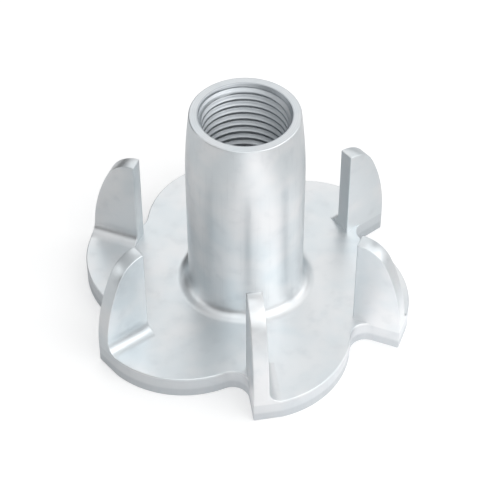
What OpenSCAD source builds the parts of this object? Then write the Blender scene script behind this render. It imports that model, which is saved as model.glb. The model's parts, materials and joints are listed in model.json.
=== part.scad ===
// Tee nut, M8 x 0.75, with six prongs.
// One stamped and drawn sheet-metal piece. A threaded barrel rises from a lobed flange, and six
// prongs, bent up out of the flange, bite into the wood that the barrel is pushed through.
// The origin is the centre of the flange's underside, and +Z runs up the barrel.
// All sizes are in millimetres and all angles in degrees, counted anticlockwise from above.

/* [Barrel] */
// Height from the flange's underside to the rim
total_h = 21.8; // [18:0.1:28]
// Outside diameter of the straight lower part
barrel_d = 10.5; // [10:0.1:12]
// Outside diameter at the rim
rim_d = 9.6; // [9:0.1:10]
// Height at which the barrel starts to narrow towards its rim
narrowing_z = 14.5; // [8:0.5:16]
// Radius of the flare where the barrel meets the flange's top
flare_r = 1.2; // [0.4:0.1:2]

/* [Bore] */
// Diameter at the thread's crests, inside the minor diameter's limits for M8 x 0.75
bore_d = 7.35; // [6.6:0.01:7.5]
// Diameter of the tapered mouth at the rim
mouth_d = 8.1; // [7.6:0.1:8.6]
// Depth of the tapered mouth, which leads a bolt in
mouth_depth = 0.8; // [0.3:0.1:1.2]
// Radius of the rounded entry at the flange's underside
entry_r = 1.5; // [0.5:0.1:1.8]

/* [Flange] */
// Diameter of the circle that touches all the lobes
flange_d = 31; // [29:0.5:36]
// Thickness of the sheet at the flange
flange_t = 2.2; // [1.2:0.1:2.6]
// Distance from the axis to the centre of each lobe's arc
lobe_centre_r = 6.8; // [6:0.1:7.5]
// Angle from each prong to the centre of its lobe's arc
lobe_lead = 6; // [2:0.5:10]
// Radius of the corner where a lobe's edge turns out along the next prong
notch_r = 1.5; // [0.5:0.1:1.8]

/* [Prongs] */
// Number of prongs, and of lobes between them
prong_count = 6; // [5:1:7]
// Angle of the first prong, which points to -Y
first_prong = -90; // [-180:5:180]
// Height of the tips above the flange's underside
prong_top = 11.6; // [8:0.1:14]
// Thickness of each prong
prong_t = 1.4; // [0.8:0.1:1.8]
// Distance from the axis to each prong's straight inner edge
prong_inner_r = 11.1; // [10.4:0.1:11.6]
// Turn of each prong away from the radius
prong_turn = 8.5; // [0:0.5:15]
// Radius of the curve at the top of each prong's outer edge
prong_tip_r = 3; // [1.5:0.1:3.4]
// Inside radius of the bend between each prong and the flange's top
bend_r = 1.2; // [0.3:0.1:1.8]

/* [Hidden] */
$fn = 96;
// Cutters run this far past the faces they cut, and joined shapes share this much.
past = 1;
shared = 0.2;
// Arcs that run smoothly into each other or into a straight overlap by this much, so that they meet.
meet = 0.0005;

barrel_r = barrel_d / 2;
bore_r = bore_d / 2;
narrowing_h = total_h - narrowing_z;
narrowing_depth = (barrel_d - rim_d) / 2;
// The arc that leaves the straight barrel without a corner and ends at the rim.
narrowing_r = (narrowing_h ^ 2 + narrowing_depth ^ 2) / (2 * narrowing_depth);
// How far the mouth opens out for each millimetre that it rises.
mouth_slope = (mouth_d - bore_d) / 2 / mouth_depth;

pitch_angle = 360 / prong_count;
lobe_r = flange_d / 2 - lobe_centre_r;
// Where the centre of a lobe's arc lies, seen from a prong: x runs out along the prong from its
// inner edge, and y crosses it anticlockwise from its notch face. The prong's own lobe comes
// first, then the lobe on its clockwise side, whose edge ends in the prong's notch.
own_lobe = seen_from_prong(lobe_centre_r, lobe_lead);
last_lobe = seen_from_prong(lobe_centre_r, lobe_lead - pitch_angle);
// Each prong runs out to its own lobe's edge, less a step that lets the two edges cross.
end_step = 0.03;
prong_l = own_lobe.x + lobe_r - end_step;
// The notch corner touches the last lobe's edge and the prong's notch face.
notch_rise = -notch_r - last_lobe.y;
notch_centre = [last_lobe.x + sqrt((lobe_r + notch_r - meet) ^ 2 - notch_rise ^ 2), -notch_r];
notch_inward = (last_lobe - notch_centre) / norm(last_lobe - notch_centre);
last_lobe_end = last_lobe.x + sqrt(lobe_r ^ 2 - last_lobe.y ^ 2);

// A prong's outer edge is upright beside the flange. Above it, a long flank arc runs into a small
// tip arc, which is level at the inner edge.
tip_centre = [0, prong_top - prong_tip_r];
inner_tip_r = prong_tip_r - meet;
tip_rise = tip_centre.y - flange_t;
flank_r = (prong_l ^ 2 + tip_rise ^ 2 - inner_tip_r ^ 2) / (2 * (prong_l - inner_tip_r));
flank_centre = [prong_l - flank_r + meet, flange_t];
arcs_meet = (tip_centre - flank_centre) / norm(tip_centre - flank_centre);

function turned(v, a) = [v.x * cos(a) - v.y * sin(a), v.x * sin(a) + v.y * cos(a)];
function seen_from_prong(r, a) = turned([r * cos(a) - prong_inner_r, r * sin(a)], -prong_turn);

// Puts its children at each prong in turn, in that prong's own axes.
module at_each_prong() {
    for (i = [0 : prong_count - 1])
        rotate(first_prong + i * pitch_angle)
            translate([prong_inner_r, 0])
                rotate(prong_turn)
                    children();
}

// One lobe: a disc, kept on the anticlockwise side of its prong's notch face.
module lobe() {
    intersection() {
        translate(own_lobe)
            circle(r = lobe_r);
        translate([-flange_d, 0])
            square([2 * flange_d, flange_d]);
    }
}

// The rounded inner corner of the notch beside a prong.
module notch_corner() {
    difference() {
        polygon([
            [notch_centre.x, shared],
            notch_centre,
            notch_centre + (notch_r + shared) * notch_inward,
            [last_lobe_end - notch_r, shared]
        ]);
        translate(notch_centre)
            circle(r = notch_r);
    }
}

module flange_outline() {
    at_each_prong() {
        lobe();
        notch_corner();
    }
}

// A prong's side view: straight inner edge on the y axis, curved outer edge.
module prong_outline() {
    intersection() {
        square([prong_l, prong_top + past]);
        union() {
            square([prong_l + past, flange_t]);
            translate(flank_centre)
                circle(r = flank_r);
        }
        union() {
            polygon([[0, 0], [prong_l + past, 0], tip_centre + (prong_tip_r + past) * arcs_meet, tip_centre]);
            translate(tip_centre)
                circle(r = prong_tip_r);
        }
    }
}

// Stands an outline up on the bend line, thick measured anticlockwise from the notch face.
module standing(thick) {
    translate([0, thick, 0])
        rotate([90, 0, 0])
            linear_extrude(thick)
                children();
}

// The inside of the bend, between a prong's far face and the flange's top.
module bend() {
    intersection() {
        rotate([90, 0, 90])
            linear_extrude(prong_l)
                difference() {
                    translate([prong_t - shared, flange_t - shared])
                        square(bend_r + shared);
                    translate([prong_t + bend_r, flange_t + bend_r])
                        circle(r = bend_r);
                }
        standing(prong_t + bend_r)
            prong_outline();
        linear_extrude(flange_t + bend_r)
            translate(own_lobe)
                circle(r = lobe_r);
    }
}

module prong() {
    standing(prong_t)
        prong_outline();
    bend();
}

// The barrel's half section, with x as the radius.
module barrel_outline() {
    intersection() {
        square([barrel_r, total_h]);
        union() {
            square([barrel_r + past, narrowing_z]);
            translate([barrel_r - narrowing_r + meet, narrowing_z])
                circle(r = narrowing_r);
        }
    }
    difference() {
        square([barrel_r + flare_r, flange_t + flare_r]);
        translate([barrel_r + flare_r, flange_t + flare_r])
            circle(r = flare_r);
    }
}

// The bore's half section. The sheet rounds into it from below, and the mouth is tapered.
module bore_outline() {
    translate([0, -past])
        square([bore_r, total_h + 2 * past]);
    difference() {
        translate([0, -past])
            square([bore_r + entry_r, entry_r + past]);
        translate([bore_r + entry_r, entry_r])
            circle(r = entry_r);
    }
    polygon([
        [0, total_h - mouth_depth],
        [bore_r, total_h - mouth_depth],
        [mouth_d / 2 + past * mouth_slope, total_h + past],
        [0, total_h + past]
    ]);
}

module tee_nut() {
    color([0.84, 0.86, 0.88])
        difference() {
            union() {
                linear_extrude(flange_t)
                    flange_outline();
                at_each_prong()
                    prong();
                rotate_extrude()
                    barrel_outline();
            }
            rotate_extrude()
                bore_outline();
        }
}

tee_nut();
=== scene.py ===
"""Looks of the tee nut: threaded barrel, lobed flange and six prongs, with their zinc plating."""

import json
import math

import bmesh
import bpy
from mathutils import Matrix, Vector


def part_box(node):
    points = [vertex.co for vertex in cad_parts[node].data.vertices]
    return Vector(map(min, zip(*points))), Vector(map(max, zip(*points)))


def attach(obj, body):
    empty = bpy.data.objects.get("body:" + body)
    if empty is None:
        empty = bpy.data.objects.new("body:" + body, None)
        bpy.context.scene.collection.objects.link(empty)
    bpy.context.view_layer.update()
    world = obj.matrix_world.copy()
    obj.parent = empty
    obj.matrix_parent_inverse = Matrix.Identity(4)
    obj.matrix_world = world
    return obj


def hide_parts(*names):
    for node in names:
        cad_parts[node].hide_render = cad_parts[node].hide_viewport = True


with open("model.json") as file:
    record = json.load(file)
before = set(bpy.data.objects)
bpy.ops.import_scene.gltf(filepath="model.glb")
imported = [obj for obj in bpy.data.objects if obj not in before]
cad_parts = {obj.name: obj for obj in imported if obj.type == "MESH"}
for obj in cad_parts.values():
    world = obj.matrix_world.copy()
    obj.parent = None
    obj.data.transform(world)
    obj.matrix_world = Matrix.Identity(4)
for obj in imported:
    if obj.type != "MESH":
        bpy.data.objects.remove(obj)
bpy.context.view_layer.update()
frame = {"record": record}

mm = 0.001

# ---------------------------------------------------------------------------------------------
# Sizes. The frame gives the height and the mounts, and the rest are the part's own named sizes.
# Angles are counted anticlockwise from above.
# ---------------------------------------------------------------------------------------------
mounts = {m["name"]: m for m in frame["record"]["mounts"]}
thread_dims = mounts["thread"]["dims"]
barrel_dims = mounts["barrel"]["dims"]

TOTAL_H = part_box("tee_nut")[1].z
CREST_R = thread_dims["r_mm"] * mm
BARREL_R = barrel_dims["r_mm"] * mm
NARROWING_Z = mounts["barrel"]["pos_m"][2] + barrel_dims["length_mm"] * mm / 2
RIM_R = 4.8 * mm
RIM_OUTER_ROUND = 0.12 * mm
RIM_INNER_ROUND = 0.05 * mm
RIM_RING_PITCH = 0.18 * mm
MOUTH_R = 4.05 * mm
MOUTH_DEPTH = 0.8 * mm
MOUTH_SLOPE = (MOUTH_R - CREST_R) / MOUTH_DEPTH
FLARE_R = 1.2 * mm
ENTRY_R = 1.5 * mm

# The thread. Its flats are shares of the pitch.
PITCH = 0.75 * mm
ROOT_R = 4.0 * mm
CREST_FLAT = 1 / 4
ROOT_FLAT = 1 / 8

FLANGE_T = 2.2 * mm
# A hair inside the solid's 8.7 mm, so that the softened skin stays within it.
LOBE_R = 8.68 * mm
LOBE_CENTRE_R = 6.8 * mm
LOBE_LEAD = math.radians(6)
NOTCH_R = 1.5 * mm
EDGE_SOFT = 0.10 * mm
# The flange's faces are even quads inside this ring, and one face a sector outside it.
MIDWAY_R = 8.4 * mm

PRONGS = 6
FIRST_PRONG = math.radians(-90)
PRONG_TOP = 11.6 * mm
PRONG_T = 1.4 * mm
PRONG_INNER_R = 11.1 * mm
PRONG_TURN = math.radians(8.5)
PRONG_TIP_R = 3.0 * mm
# A prong ends this far inside its own lobe's edge.
PRONG_END_STEP = 0.03 * mm
BEND_R = 1.2 * mm

# How finely the skin is cut, and how near two points lie to be one.
STEPS_ROUND = 144
STEP = 2 * math.pi / STEPS_ROUND
ROWS_A_PITCH = 12
LOBE_STEP = math.radians(2.4)
NOTCH_STEP = math.radians(9)
SAME_SPOT = 0.0004 * mm
WELD = 0.0015 * mm
# A prong's sector begins this many steps before its prong.
STEPS_BEFORE_PRONG = 9
# Edges that turn more than these angles are softened, or shaded as edges where they aren't.
SOFTENED_FROM = math.radians(35)
SHARP_FROM = math.radians(52)
# The barrel's own edges have their rounding in its section, so softening begins outside this.
SOFTENED_OUTSIDE_R = 7 * mm


# ---------------------------------------------------------------------------------------------
# Nodes: sums on sockets are written as plain expressions, for materials and for shapes alike.
# ---------------------------------------------------------------------------------------------
class Wire:
    """One output of a node, for use in plain expressions."""

    def __init__(self, board, socket):
        self.board = board
        self.socket = socket

    def sum_of(self, operation, *values):
        return self.board.node("ShaderNodeMath", {"operation": operation}, dict(enumerate(values)))

    def other(self, name):
        return Wire(self.board, self.socket.node.outputs[name])

    def __add__(self, b):
        return self.sum_of("ADD", self, b)

    __radd__ = __add__

    def __mul__(self, b):
        return self.sum_of("MULTIPLY", self, b)

    __rmul__ = __mul__

    def __sub__(self, b):
        return self.sum_of("SUBTRACT", self, b)

    def __rsub__(self, b):
        return self.sum_of("SUBTRACT", b, self)

    def __truediv__(self, b):
        return self.sum_of("DIVIDE", self, b)

    def __rtruediv__(self, b):
        return self.sum_of("DIVIDE", b, self)

    def __abs__(self):
        return self.sum_of("ABSOLUTE", self)

    def floor(self):
        return self.sum_of("FLOOR", self)

    def fraction(self):
        return self.sum_of("FRACT", self)

    def root(self):
        return self.sum_of("SQRT", self)

    def sine(self):
        return self.sum_of("SINE", self)

    def cosine(self):
        return self.sum_of("COSINE", self)

    def at_least(self, b):
        return self.sum_of("MAXIMUM", self, b)

    def at_most(self, b):
        return self.sum_of("MINIMUM", self, b)

    def ramp(self, start, end):
        """0 up to start and 1 from end on, with soft shoulders. It runs down where end is lower."""
        return self.board.node(
            "ShaderNodeMapRange",
            {"interpolation_type": "SMOOTHSTEP"},
            {"Value": self, "From Min": start, "From Max": end, "To Min": 0.0, "To Max": 1.0},
        )


class Board:
    """A node tree, and the one way in which nodes are put on it."""

    def __init__(self, tree):
        self.tree = tree

    def node(self, kind, settings=None, sockets=None, output=0):
        made = self.tree.nodes.new(kind)
        for name, value in (settings or {}).items():
            setattr(made, name, value)
        for key, value in (sockets or {}).items():
            if isinstance(value, Wire):
                self.tree.links.new(value.socket, made.inputs[key])
            else:
                made.inputs[key].default_value = value
        return Wire(self, made.outputs[output]) if len(made.outputs) else None

    def parts(self, vector):
        """A vector's X, Y and Z."""
        x = self.node("ShaderNodeSeparateXYZ", None, {"Vector": vector})
        return x, x.other("Y"), x.other("Z")

    def mixed(self, share, a, b):
        """Two colours, mixed. The numbers are the places of the Mix node's colour sockets."""
        return self.node(
            "ShaderNodeMix", {"data_type": "RGBA"}, {0: share, 6: a, 7: b}, output=2
        )


def material_board(name):
    """A new material, and the board for its empty tree."""
    mat = bpy.data.materials.new(name)
    mat.use_nodes = True
    mat.node_tree.nodes.clear()
    return mat, Board(mat.node_tree)


def grey(level):
    return (level, level, level, 1.0)


def in_scene(name, data):
    """A new object at the origin, in the scene."""
    obj = bpy.data.objects.new(name, data)
    bpy.context.scene.collection.objects.link(obj)
    return obj


# ---------------------------------------------------------------------------------------------
# Zinc plating
# ---------------------------------------------------------------------------------------------
def bright_zinc():
    """Bright, clear-passivated zinc on drawn and punched steel."""
    mat, b = material_board("bright_zinc_plating")
    place = b.node("ShaderNodeTexCoord", output="Object")
    facing = b.node("ShaderNodeTexCoord", output="Normal")
    x, y, z = b.parts(place)
    radius = (x * x + y * y).root()
    up = b.parts(facing)[2]
    upright = abs(up).ramp(0.55, 0.25)

    # Where the surface is: 1 there and 0 elsewhere, with soft limits.
    outside = radius.ramp(RIM_R - 0.5 * mm, RIM_R - 0.1 * mm)
    on_barrel = (
        radius.ramp(BARREL_R + 1.15 * mm, BARREL_R + 0.35 * mm)
        * z.ramp(FLANGE_T + 0.2 * mm, FLANGE_T + FLARE_R)
        * outside
    )
    in_bore = radius.ramp(MOUTH_R + 0.15 * mm, MOUTH_R)
    on_edge = (
        radius.ramp(MIDWAY_R - 0.9 * mm, MIDWAY_R + 0.1 * mm)
        * z.ramp(FLANGE_T - 0.1 * mm, FLANGE_T - 0.3 * mm)
        * upright
    )
    on_prong = radius.ramp(PRONG_INNER_R - 0.5 * mm, PRONG_INNER_R - 0.1 * mm) * z.ramp(
        FLANGE_T + 0.1 * mm, FLANGE_T + 1.0 * mm
    )
    on_rim = up.ramp(0.60, 0.90) * z.ramp(TOTAL_H - 0.5 * mm, TOTAL_H - 0.2 * mm)

    def stretched(scale, along, detail=4.0, rough=0.55):
        """Noise on the object's own place, drawn out by the factors in along."""
        spread = b.node("ShaderNodeVectorMath", {"operation": "MULTIPLY"}, {0: place, 1: along})
        return b.node(
            "ShaderNodeTexNoise",
            {"noise_dimensions": "3D"},
            {"Vector": spread, "Scale": scale, "Detail": detail, "Roughness": rough},
        )

    cloud = stretched(240.0, (1, 1, 1), 2.0, 0.5)
    mottle = stretched(800.0, (1, 1, 1), 2.0, 0.45)
    grain = stretched(5200.0, (1, 1, 1), 3.0, 0.6)
    draw_lines = stretched(3600.0, (1, 1, 0.035), 4.0, 0.65)
    shear_lines = stretched(4200.0, (1, 1, 0.10), 3.0, 0.6)
    rolled = stretched(2600.0, (0.06, 1, 1), 3.0, 0.6)

    # The rim is trimmed in a turn, which leaves fine rings in it.
    rings = (radius * (2 * math.pi / RIM_RING_PITCH) + cloud * 4.0).sine() * 0.5 + 0.5

    # Where the punch broke through, the lower half of the flange's edge is duller and rougher.
    torn = on_edge * z.ramp(FLANGE_T / 2 + 0.05 * mm, FLANGE_T / 2 - 0.35 * mm)
    # The draw polishes the barrel, and its foot keeps more of the sheet's dullness.
    polished = on_barrel * z.ramp(FLANGE_T + 0.8 * mm, FLANGE_T + 6.8 * mm)

    cool = (0.712, 0.754, 0.776, 1.0)
    warm = (0.790, 0.805, 0.815, 1.0)
    # The dull colour is duller zinc, and also painted shade in the bore and on the punched edge.
    dull_and_shade = (0.560, 0.592, 0.618, 1.0)
    colour = b.mixed(cloud.ramp(0.36, 0.66), cool, warm)
    colour = b.mixed(mottle.ramp(0.50, 0.80) * 0.22, colour, dull_and_shade)
    colour = b.mixed(draw_lines.ramp(0.52, 0.80) * on_barrel * 0.20, colour, dull_and_shade)
    # The punched edge is darker: partly the duller sheared steel, partly painted shade for the edge
    # band. Its torn lower half is darker still.
    colour = b.mixed(on_edge * 0.40 + torn * 0.35, colour, dull_and_shade)
    # Painted shade: the bore is darkened nearly to the dull colour for the shade deep in the
    # recess, and partly for thinner plating in the tapped thread. The rim is duller, more so along
    # its rings.
    colour = b.mixed(in_bore * 0.90 + on_rim * (0.30 + rings * 0.20), colour, dull_and_shade)

    roughness = (
        0.37
        + (cloud - 0.5) * 0.12
        + (mottle - 0.5) * 0.12
        + (draw_lines - 0.5) * 0.16 * on_barrel
        + (shear_lines - 0.5) * 0.24 * on_edge
        + torn * 0.16
        + in_bore * 0.09
        + on_rim * 0.03
        - polished * 0.03
    )

    height = (
        grain * 0.10
        + mottle * 0.17
        + draw_lines * on_barrel * 0.55
        + shear_lines * on_edge * (0.9 + torn * 1.2)
        + rolled * (1.0 - on_barrel) * outside * 0.22
        + rolled * on_prong * 0.10
        + rings * on_rim * 0.30
    )
    bumped = b.node(
        "ShaderNodeBump", None, {"Strength": 0.11, "Distance": 0.02 * mm, "Height": height}
    )

    shader = b.node(
        "ShaderNodeBsdfPrincipled",
        None,
        {
            "Base Color": colour,
            "Metallic": 1.0,
            "Roughness": roughness,
            "Normal": bumped,
        },
    )
    b.node("ShaderNodeOutputMaterial", None, {"Surface": shader})
    return mat


# ---------------------------------------------------------------------------------------------
# Shapes that follow a rule
# ---------------------------------------------------------------------------------------------
def shape_tree(name, wants):
    """A geometry tree with one geometry input and the named inputs in wants, each (name, kind)."""
    tree = bpy.data.node_groups.new(name, "GeometryNodeTree")
    tree.interface.new_socket(name="Shape", in_out="INPUT", socket_type="NodeSocketGeometry")
    tree.interface.new_socket(name="Shape", in_out="OUTPUT", socket_type="NodeSocketGeometry")
    for label, kind in wants:
        tree.interface.new_socket(name=label, in_out="INPUT", socket_type="NodeSocket" + kind)
    board = Board(tree)
    return board, board.node("NodeGroupInput")


def end_tree(board, given, shape):
    """Makes the shape real, merges what meets, gives it its finish and hands it out."""
    real = board.node("GeometryNodeRealizeInstances", None, {"Geometry": shape})
    merged = board.node(
        "GeometryNodeMergeByDistance", None, {"Geometry": real, "Distance": WELD}
    )
    done = board.node(
        "GeometryNodeSetMaterial", None, {"Geometry": merged, "Material": given.other("Finish")}
    )
    board.node("NodeGroupOutput", None, {0: done})


def shaped(mesh, board, values):
    """The plain mesh that a tree makes of a mesh, with the tree's inputs set by their sockets."""
    obj = in_scene("blank", mesh)
    mod = obj.modifiers.new("shape", "NODES")
    mod.node_group = board.tree
    for item in board.tree.interface.items_tree:
        if item.in_out == "INPUT" and item.name in values:
            mod[item.identifier] = values[item.name]
    return plain(obj)


def plain(obj):
    """The mesh of an object with its modifiers worked in. The object itself is cleared away."""
    deps = bpy.context.evaluated_depsgraph_get()
    mesh = bpy.data.meshes.new_from_object(obj.evaluated_get(deps), depsgraph=deps)
    old = obj.data
    bpy.data.objects.remove(obj)
    bpy.data.meshes.remove(old)
    return mesh


def grid_of(board, columns, rows):
    """A grid's geometry and, for each of its points, the column and the row that it stands in."""
    grid = board.node(
        "GeometryNodeMeshGrid",
        None,
        {"Size X": 1.0, "Size Y": 1.0, "Vertices X": columns, "Vertices Y": rows},
    )
    index = board.node("GeometryNodeInputIndex")
    column = ((index + 0.5) / rows).floor()
    return grid, column, index - column * rows


def turning_tree():
    """Turns a half section, given as a row of points in the XZ plane, once round the axis."""
    b, given = shape_tree("turned_skin", [("Steps round", "Int"), ("Finish", "Material")])
    steps = given.other("Steps round")
    points = b.node("GeometryNodeAttributeDomainSize", {"component": "MESH"}, {"Geometry": given})
    grid, column, row = grid_of(b, steps + 1, points)
    section = b.node(
        "GeometryNodeSampleIndex",
        {"data_type": "FLOAT_VECTOR", "domain": "POINT"},
        {"Geometry": given, "Value": b.node("GeometryNodeInputPosition"), "Index": row},
    )
    turned = b.node(
        "ShaderNodeVectorRotate",
        {"rotation_type": "Z_AXIS"},
        {"Vector": section, "Angle": column / steps * (2 * math.pi)},
    )
    placed = b.node("GeometryNodeSetPosition", None, {"Geometry": grid, "Position": turned})
    end_tree(b, given, placed)
    return b


def thread_tree():
    """The tapped wall. Its rows climb with the helix, and it opens out into the tapered mouth
    above and the rounded entry below, so the grooves run out there as a tap leaves them."""
    b, given = shape_tree(
        "tapped_wall",
        [
            ("Steps round", "Int"),
            ("Rows a pitch", "Int"),
            ("Pitch", "Float"),
            ("Crest radius", "Float"),
            ("Root radius", "Float"),
            ("Lowest", "Float"),
            ("Highest", "Float"),
            ("Rim height", "Float"),
            ("Mouth radius", "Float"),
            ("Mouth slope", "Float"),
            ("Entry radius", "Float"),
            ("Finish", "Material"),
        ],
    )
    v = given.other
    per_pitch = v("Rows a pitch")
    row_h = v("Pitch") / per_pitch
    rows = ((v("Highest") - v("Lowest")) / row_h).floor() + per_pitch + 3.0
    grid, column, row = grid_of(b, v("Steps round") + 1, rows)
    turn = column / v("Steps round")
    z = v("Lowest") - v("Pitch") + turn * v("Pitch") + row * row_h
    z = z.at_least(v("Lowest")).at_most(v("Highest"))

    # A 60 degree form with a flat crest and a flat root. from_root counts in pitches.
    from_root = abs((row / per_pitch).fraction() - 0.5)
    flank_end = 0.5 - CREST_FLAT / 2
    depth = ((flank_end - from_root) / (flank_end - ROOT_FLAT / 2)).at_least(0.0).at_most(1.0)
    thread = v("Crest radius") + (v("Root radius") - v("Crest radius")) * depth
    mouth = v("Mouth radius") - (v("Rim height") - z) * v("Mouth slope")
    below = v("Entry radius") - z.at_most(v("Entry radius"))
    entry = v("Crest radius") + v("Entry radius") - (
        v("Entry radius") * v("Entry radius") - below * below
    ).root()
    radius = thread.at_least(mouth).at_least(entry)

    angle = turn * (2 * math.pi)
    spot = b.node(
        "ShaderNodeCombineXYZ",
        None,
        {"X": radius * angle.cosine(), "Y": radius * angle.sine(), "Z": z},
    )
    placed = b.node("GeometryNodeSetPosition", None, {"Geometry": grid, "Position": spot})
    end_tree(b, given, placed)
    return b


def ring_tree():
    """Repeats one prong and its share of the flange round the axis."""
    b, given = shape_tree(
        "prongs_round_the_flange",
        [("Count", "Int"), ("First angle", "Float"), ("Finish", "Material")],
    )
    count = given.other("Count")
    spots = b.node("GeometryNodePoints", None, {"Count": count})
    index = b.node("GeometryNodeInputIndex")
    angle = given.other("First angle") + index / count * (2 * math.pi)
    turn = b.node("ShaderNodeCombineXYZ", None, {"Z": angle})
    copies = b.node(
        "GeometryNodeInstanceOnPoints",
        None,
        {"Points": spots, "Instance": given, "Rotation": turn},
    )
    end_tree(b, given, copies)
    return b


# ---------------------------------------------------------------------------------------------
# Half sections of the barrel, as (radius, height)
# ---------------------------------------------------------------------------------------------
def arc(centre, radius, start, end, steps):
    """Points along an arc from start to end, in degrees, with both ends."""
    turns = [math.radians(start + (end - start) * i / steps) for i in range(steps + 1)]
    return [(centre[0] + radius * math.cos(t), centre[1] + radius * math.sin(t)) for t in turns]


def outer_section():
    """From the flange's top, up the barrel and over the rim, to where the thread begins."""
    straight_rows = 16
    narrowing_rows = 14
    pts = arc((BARREL_R + FLARE_R, FLANGE_T + FLARE_R), FLARE_R, 270, 180, 12)
    straight = NARROWING_Z - pts[-1][1]
    foot = pts[-1][1]
    pts += [(BARREL_R, foot + straight * i / straight_rows) for i in range(1, straight_rows)]
    height = TOTAL_H - NARROWING_Z
    depth = BARREL_R - RIM_R
    bow = (height * height + depth * depth) / (2 * depth)
    top = TOTAL_H - RIM_OUTER_ROUND
    for i in range(narrowing_rows + 1):
        z = NARROWING_Z + (top - NARROWING_Z) * i / narrowing_rows
        pts.append((BARREL_R - bow + math.sqrt(bow * bow - (z - NARROWING_Z) ** 2), z))
    pts += arc((pts[-1][0] - RIM_OUTER_ROUND, top), RIM_OUTER_ROUND, 0, 90, 5)[1:]
    # Over the rim's inner edge, and down the tapered mouth.
    turn = math.pi / 2 - math.atan(MOUTH_SLOPE)
    inner = (MOUTH_R + RIM_INNER_ROUND * math.tan(turn / 2), TOTAL_H - RIM_INNER_ROUND)
    pts += arc(inner, RIM_INNER_ROUND, 90, 90 + math.degrees(turn), 4)
    pts.append((ROOT_R, thread_top()))
    return pts


def thread_top():
    """Where the tapered mouth is as wide as the thread's root."""
    return TOTAL_H - (MOUTH_R - ROOT_R) / MOUTH_SLOPE


def thread_foot():
    """Where the rounded entry is as wide as the thread's root."""
    reach = CREST_R + ENTRY_R - ROOT_R
    return ENTRY_R - math.sqrt(ENTRY_R**2 - reach**2)


def inner_section():
    """From where the thread ends below, round the entry to the flange's underside."""
    centre = (CREST_R + ENTRY_R, ENTRY_R)
    reach = math.degrees(math.asin((ENTRY_R - thread_foot()) / ENTRY_R))
    return arc(centre, ENTRY_R, 180 + reach, 270, 6)


def row_of(points):
    """A mesh of points joined in a row, in the XZ plane."""
    mesh = bpy.data.meshes.new("section")
    edges = [(i, i + 1) for i in range(len(points) - 1)]
    mesh.from_pydata([(r, 0.0, z) for r, z in points], edges, [])
    return mesh


# ---------------------------------------------------------------------------------------------
# One prong and its share of the flange, with the prong at the +X side
# ---------------------------------------------------------------------------------------------
def prong_frame():
    """Puts a prong's own axes into the nut's: x runs out along it from its inner edge, and y
    crosses it anticlockwise from its notch face."""
    return Matrix.Translation((PRONG_INNER_R, 0, 0)) @ Matrix.Rotation(PRONG_TURN, 4, "Z")


def polar(r, a):
    return Vector((r * math.cos(a), r * math.sin(a), 0))


def arc_between(centre, start, end, step):
    """Points on an arc round centre from start to end, without start and with end."""
    a = math.atan2(start.y - centre.y, start.x - centre.x)
    z = math.atan2(end.y - centre.y, end.x - centre.x)
    z = a + math.remainder(z - a, 2 * math.pi)
    n = max(2, round(abs(z - a) / step))
    r = (start - centre).length
    return [centre + polar(r, a + (z - a) * i / n) for i in range(1, n)] + [end]


def out_to_lobe(angle, lobe):
    """Where a ray from the axis leaves a lobe's circle."""
    u = polar(1, angle)
    c = polar(LOBE_CENTRE_R, lobe)
    along = c.dot(u)
    return u * (along + math.sqrt(along**2 - LOBE_CENTRE_R**2 + LOBE_R**2))


class Sector:
    """Collects the faces of the prong's sector, keeping one vertex for each spot."""

    def __init__(self):
        self.bm = bmesh.new()
        self.known = {}

    def vertex(self, p):
        key = tuple(round(c / SAME_SPOT) for c in p)
        if key not in self.known:
            self.known[key] = self.bm.verts.new(p)
        return self.known[key]

    def face(self, points):
        """One face. Points that fall on the same spot count once."""
        verts = []
        for p in points:
            v = self.vertex(p)
            if not verts or v is not verts[-1]:
                verts.append(v)
        if verts[0] is verts[-1]:
            verts.pop()
        self.bm.faces.new(verts)

    def strip(self, one, other):
        """Faces between two rows of as many points."""
        for i in range(len(one) - 1):
            self.face([one[i], one[i + 1], other[i + 1], other[i]])


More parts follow.
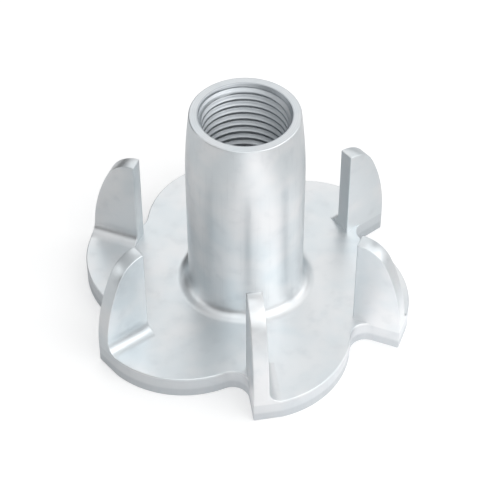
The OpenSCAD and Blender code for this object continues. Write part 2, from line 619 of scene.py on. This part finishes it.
def prong_sector():
    """The prong, its bend and its sixth of the flange, open towards the bore and its neighbours."""
    sector = Sector()
    to_nut = prong_frame()
    to_prong = to_nut.inverted()
    pitch = 2 * math.pi / PRONGS
    start_angle = -STEPS_BEFORE_PRONG * STEP
    up = Vector((0, 0, FLANGE_T))

    own = to_prong @ polar(LOBE_CENTRE_R, LOBE_LEAD)
    last = to_prong @ polar(LOBE_CENTRE_R, LOBE_LEAD - pitch)
    length = own.x + LOBE_R - PRONG_END_STEP

    # The notch's corner touches the last lobe's edge and the line of the notch face.
    rise = -NOTCH_R - last.y
    notch = Vector((last.x + math.sqrt((LOBE_R + NOTCH_R) ** 2 - rise**2), -NOTCH_R, 0))
    touch = notch + (last - notch).normalized() * NOTCH_R

    # The prong's outer edge: upright beside the flange, then a long arc into a small one.
    tip = Vector((0, 0, PRONG_TOP - PRONG_TIP_R))
    tip_rise = tip.z - FLANGE_T
    bow = (length**2 + tip_rise**2 - PRONG_TIP_R**2) / (2 * (length - PRONG_TIP_R))
    turn = math.atan2(tip_rise, bow - length)

    def flank(z):
        return length - bow + math.sqrt(bow**2 - (z - FLANGE_T) ** 2)

    # The bend's inside, as (y, z), and the outer edge as (x, z), at the same heights up the bend.
    bend_steps = 6
    foot_y = PRONG_T + BEND_R
    bend = []
    for i in range(bend_steps + 1):
        a = math.radians(90 * i / bend_steps)
        bend.append((foot_y - BEND_R * math.sin(a), FLANGE_T + BEND_R * (1 - math.cos(a))))
    bend_top = bend[-1][1]
    flank_steps = 14
    start_turn = math.asin((bend_top - FLANGE_T) / bow)
    outer = [(flank(z), z) for _, z in bend]
    for i in range(1, flank_steps + 1):
        a = start_turn + (turn - start_turn) * i / flank_steps
        outer.append((length - bow + bow * math.cos(a), FLANGE_T + bow * math.sin(a)))
    tip_steps = 11
    for i in range(1, tip_steps + 1):
        a = turn + (math.pi / 2 - turn) * i / tip_steps
        outer.append((PRONG_TIP_R * math.cos(a), tip.z + PRONG_TIP_R * math.sin(a)))
    outer[-1] = (0.0, PRONG_TOP)
    above = outer[bend_steps:]
    # The bend's end follows the lobe's edge where that lies inside the flank.
    bend_end = [
        min(flank(z), own.x + math.sqrt(LOBE_R**2 - (y - own.y) ** 2)) for y, z in bend
    ]

    def spot(px, py, pz=0.0):
        return to_nut @ Vector((px, py, pz))

    # The flange's edge, anticlockwise, at the underside.
    begin = out_to_lobe(start_angle, LOBE_LEAD - pitch)
    finish = out_to_lobe(start_angle + pitch, LOBE_LEAD)
    lobe_before = polar(LOBE_CENTRE_R, LOBE_LEAD - pitch)
    lobe_after = polar(LOBE_CENTRE_R, LOBE_LEAD)
    touch_n = to_nut @ touch
    touch_n.z = 0
    before = [begin] + arc_between(lobe_before, begin, touch_n, LOBE_STEP)
    corner = spot(notch.x, 0)
    fillet = [touch_n] + arc_between(to_nut @ notch, touch_n, corner, NOTCH_STEP)
    toe = spot(length, 0)
    heel = spot(bend_end[0], foot_y)
    after = [heel] + arc_between(lobe_after, heel, finish, LOBE_STEP)
    edge = before + fillet[1:] + [toe] + after

    def ring(r, z):
        n = STEPS_ROUND // PRONGS
        return [polar(r, start_angle + i * STEP) + Vector((0, 0, z)) for i in range(n + 1)]

    # Flange: top, underside and edge.
    seat = [spot(0, 0), spot(0, PRONG_T), spot(0, foot_y)]
    top = before + fillet[1:] + seat + after
    for face_z, inner_r in ((FLANGE_T, BARREL_R + FLARE_R), (0, CREST_R + ENTRY_R)):
        sector.strip(ring(inner_r, face_z), ring(MIDWAY_R, face_z))
    sector.face([p + up for p in top] + ring(MIDWAY_R, FLANGE_T)[::-1])
    sector.face(edge[::-1] + ring(MIDWAY_R, 0))
    for part in (before, fillet, after):
        sector.strip(part, [p + up for p in part])

    # Outer end, from the underside to the tip. One face runs from the underside past the bend's
    # lowest steps, which would be slivers by themselves.
    low = 2
    end_near = [spot(px, 0, pz) for px, pz in outer[: bend_steps + 1]]
    end_far = [spot(px, py, pz) for px, (py, pz) in zip(bend_end, bend)]
    sector.face([toe, heel] + end_far[: low + 1] + end_near[low::-1])
    sector.strip(end_near[low:], end_far[low:])
    near = [spot(px, 0, pz) for px, pz in above]
    far = [spot(px, PRONG_T, pz) for px, pz in above]
    sector.strip(near, far)

    # Notch face, far face, inner edge and bend.
    outline = [spot(px, 0, pz) for px, pz in outer]
    sector.face([spot(0, 0, FLANGE_T), spot(notch.x, 0, FLANGE_T), corner, toe] + outline)
    sector.face(far + [spot(0, PRONG_T, bend_top)])
    inner = [spot(0, py, pz) for py, pz in bend]
    edge_foot = [spot(0, 0, PRONG_TOP), spot(0, 0, FLANGE_T), spot(0, PRONG_T, FLANGE_T)]
    sector.face(edge_foot + inner + [spot(0, PRONG_T, PRONG_TOP)])
    sector.strip(inner, end_far)

    mesh = bpy.data.meshes.new("prong_sector")
    sector.bm.to_mesh(mesh)
    sector.bm.free()
    return mesh


# ---------------------------------------------------------------------------------------------
# The nut, welded from its shares into one closed skin
# ---------------------------------------------------------------------------------------------
def mark_for_softening(bm):
    """Marks the sheet's outward edges. The bend's cusp at a prong's inner edge is left alone,
    because it runs out level with the flange."""
    layer = bm.edges.layers.float.new("bevel_weight_edge")
    for e in bm.edges:
        if len(e.link_faces) != 2 or not e.is_convex:
            continue
        if e.calc_face_angle() < SOFTENED_FROM:
            continue
        middle = (e.verts[0].co + e.verts[1].co) / 2
        r = math.hypot(middle.x, middle.y)
        cusp = FLANGE_T < middle.z < FLANGE_T + 0.3 * BEND_R and r < PRONG_INNER_R + 2 * mm
        if r > SOFTENED_OUTSIDE_R and not cusp:
            e[layer] = 1.0


def make_nut(finish):
    """Welds the shares, softens the edges and levels the shading of the flat faces."""
    common = {"Steps round": STEPS_ROUND, "Finish": finish}
    turning = turning_tree()
    shares = [
        shaped(row_of(outer_section()), turning, common),
        shaped(row_of(inner_section()), turning, common),
        shaped(
            bpy.data.meshes.new("wall"),
            thread_tree(),
            {
                **common,
                "Rows a pitch": ROWS_A_PITCH,
                "Pitch": PITCH,
                "Crest radius": CREST_R,
                "Root radius": ROOT_R,
                "Lowest": thread_foot(),
                "Highest": thread_top(),
                "Rim height": TOTAL_H,
                "Mouth radius": MOUTH_R,
                "Mouth slope": MOUTH_SLOPE,
                "Entry radius": ENTRY_R,
            },
        ),
        shaped(
            prong_sector(),
            ring_tree(),
            {"Count": PRONGS, "First angle": FIRST_PRONG, "Finish": finish},
        ),
    ]
    bm = bmesh.new()
    for share in shares:
        bm.from_mesh(share)
    bmesh.ops.remove_doubles(bm, verts=bm.verts, dist=WELD)
    bmesh.ops.recalc_face_normals(bm, faces=bm.faces)
    mark_for_softening(bm)
    for f in bm.faces:
        f.smooth = True
        f.material_index = 0
    mesh = bpy.data.meshes.new("plated_nut")
    bm.to_mesh(mesh)
    bm.free()

    nut = in_scene("plated_nut", mesh)
    edge = nut.modifiers.new("softened edges", "BEVEL")
    edge.limit_method = "WEIGHT"
    edge.width = EDGE_SOFT
    edge.segments = 3
    edge.use_clamp_overlap = False
    mesh = plain(nut)
    mesh.set_sharp_from_angle(angle=SHARP_FROM)
    mesh.materials.clear()
    mesh.materials.append(finish)

    nut = in_scene("plated_nut", mesh)
    flat = nut.modifiers.new("level faces", "WEIGHTED_NORMAL")
    flat.keep_sharp = True
    cut = nut.modifiers.new("even triangles", "TRIANGULATE")
    cut.min_vertices = 5
    cut.ngon_method = "BEAUTY"
    cut.keep_custom_normals = True
    return in_scene("plated_nut", plain(nut))


zinc = bright_zinc()
nut = make_nut(zinc)
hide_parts("tee_nut")
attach(nut, "root")


# ---------------------------------------------------------------------------------------------
# Floor, lamps and camera
# ---------------------------------------------------------------------------------------------
# The floor lies this far under the nut, so that the two faces don't share a place.
FLOOR_GAP = 0.02 * mm
FLOOR_HALF = 0.6
SQUARE = ((-1, -1), (1, -1), (1, 1), (-1, 1))
# The lamps point at this spot, about the nut's middle.
LIT_SPOT = Vector((0, 0, 0.008))
CAMERA_TILT = math.radians(47)
CAMERA_DISTANCE = 158.04 * mm
# The middle of the view, seen from the camera: how far it lies right of the origin and above it.
VIEW_RIGHT = 0.413 * mm
VIEW_UP = 3.790 * mm


def pale_floor():
    """Paper that is white to the eye. In the metal it shows a painted pool of light right of the
    nut, standing in for where the key falls: a glow that only reflections see.
    """
    mat, b = material_board("pale_floor")
    path = b.node("ShaderNodeLightPath")
    mirrored = path.other("Is Glossy Ray").at_least(path.other("Is Transmission Ray"))
    cloth = b.node("ShaderNodeBsdfDiffuse", None, {"Color": grey(0.70)})
    place = b.node("ShaderNodeTexCoord", output="Object")
    x, y, _ = b.parts(place)
    # Painted light: a pool of glow that peaks right of the nut, on its near side, seen only in
    # reflections and black elsewhere.
    painted_pool = x.ramp(-20 * mm, 16 * mm) * x.ramp(30 * mm, 16 * mm) * y.ramp(13 * mm, -5 * mm)
    painted_pool_glow = b.mixed(painted_pool, grey(0.0), (0.56, 0.54, 0.54, 1.0))
    shown = b.mixed(mirrored, grey(0.38), painted_pool_glow)
    seen = path.other("Is Camera Ray").at_least(mirrored)
    glow = b.node("ShaderNodeEmission", None, {"Color": shown, "Strength": seen})
    both = b.node("ShaderNodeAddShader", None, {0: cloth, 1: glow})
    b.node("ShaderNodeOutputMaterial", None, {"Surface": both})
    mesh = bpy.data.meshes.new("floor")
    corners = [(x * FLOOR_HALF, y * FLOOR_HALF, -FLOOR_GAP) for x, y in SQUARE]
    mesh.from_pydata(corners, [], [(0, 1, 2, 3)])
    mesh.materials.append(mat)
    floor = in_scene("floor", mesh)


def lamp(name, place, width, height, power):
    data = bpy.data.lights.new(name, "AREA")
    data.shape = "RECTANGLE"
    data.size, data.size_y = width, height
    data.energy = power
    obj = in_scene(name, data)
    obj.location = place
    obj.rotation_euler = look_from(place, LIT_SPOT)


def look_from(place, spot):
    """The turn that makes a lamp or a camera at place look at a spot."""
    return (Vector(spot) - Vector(place)).to_track_quat("-Z", "Y").to_euler()


def surroundings():
    """A studio that is pale low on the right, and pale overhead on the left and in front."""
    world = bpy.data.worlds.new("studio")
    bpy.context.scene.world = world
    world.use_nodes = True
    world.node_tree.nodes.clear()
    b = Board(world.node_tree)
    ray = b.node("ShaderNodeTexCoord", output="Generated")
    x, y, z = b.parts(ray)
    high = z.ramp(0.12, 0.62)
    right = x.ramp(-0.6, 0.6)
    front = y.ramp(0.1, -0.6)
    level = right * (1.0 - high) * 0.68 + (0.54 - 0.46 * right + 0.24 * front) * high
    colour = b.mixed(level, grey(0.0), (0.98, 0.99, 1.0, 1.0))
    light = b.node("ShaderNodeBackground", None, {"Color": colour, "Strength": 1.0})
    b.node("ShaderNodeOutputWorld", None, {"Surface": light})


pale_floor()
surroundings()
# Each lamp has its place, its width and height, and its power in watts.
lamp("key_softbox", (0.31, 0.0, 0.28), 0.42, 0.42, 0.68)
lamp("front_softbox", (0.05, -0.31, 0.28), 0.52, 0.46, 0.58)
lamp("front_right_softbox", (0.28, -0.22, 0.21), 0.30, 0.30, 0.26)
lamp("low_right_softbox", (0.38, 0.14, 0.11), 0.22, 0.22, 0.04)
lamp("low_left_softbox", (-0.41, 0.0, 0.11), 0.22, 0.22, 0.16)
lamp("back_softbox", (0.05, 0.30, 0.28), 0.46, 0.36, 0.42)
lamp("top_softbox", (0.0, 0.0, 0.42), 0.22, 0.22, 0.18)

camera = in_scene("camera", bpy.data.cameras.new("camera"))
camera.data.lens = 121.8
camera.data.sensor_width = 36.0
camera.data.clip_start = 0.01
camera.data.clip_end = 10.0
level, rise = math.cos(CAMERA_TILT), math.sin(CAMERA_TILT)
camera.location = (0, -CAMERA_DISTANCE * level, CAMERA_DISTANCE * rise)
camera.rotation_euler = look_from(camera.location, (VIEW_RIGHT, VIEW_UP * rise, VIEW_UP * level))
bpy.context.scene.camera = camera
bpy.context.scene.view_settings.view_transform = "Standard"
